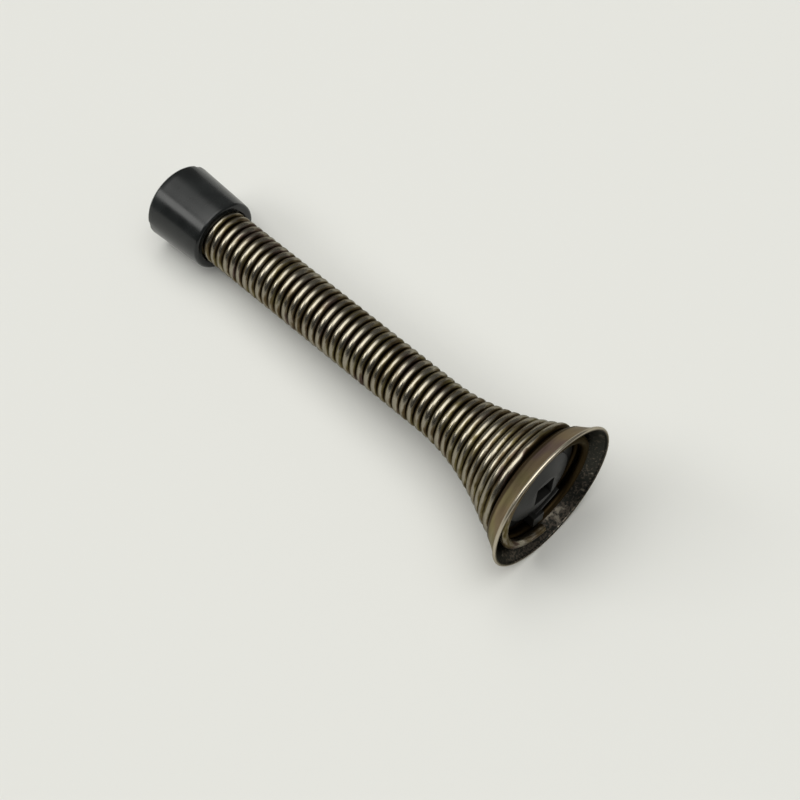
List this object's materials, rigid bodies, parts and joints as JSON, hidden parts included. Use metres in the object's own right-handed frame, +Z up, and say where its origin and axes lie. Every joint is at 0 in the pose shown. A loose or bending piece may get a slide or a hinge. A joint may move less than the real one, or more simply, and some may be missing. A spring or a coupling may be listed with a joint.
{
  "type": "spring door stop",
  "caption": "Spring door stop: a close-wound antique brass coil that flares at the wall, with a flared sheet collar, a black moulded fixing boss and a black rubber tip.",
  "frame": {"origin": "centre of the collar's rim on the wall plane, where the stop is fixed", "axes": "+Y into the wall along the stop's axis, so the stop stands out along -Y; +Z up, with the coil's cut end near the bottom"},
  "size_m": [0.0258, 0.085, 0.0258],
  "materials": {
    "coil_brass": "antique brass plating on spring wire, satin, dark in the valleys",
    "black_rubber": "smooth satin black rubber",
    "collar_brass": "antique brass plating on spun sheet, satin",
    "black_plastic": "moulded black plastic, matt"
  },
  "bodies": {
    "root": {"coil_spring": "coil_brass", "rubber_tip": "black_rubber", "flared_collar": "collar_brass", "fixing_boss": "black_plastic"}
  },
  "joints": []
}
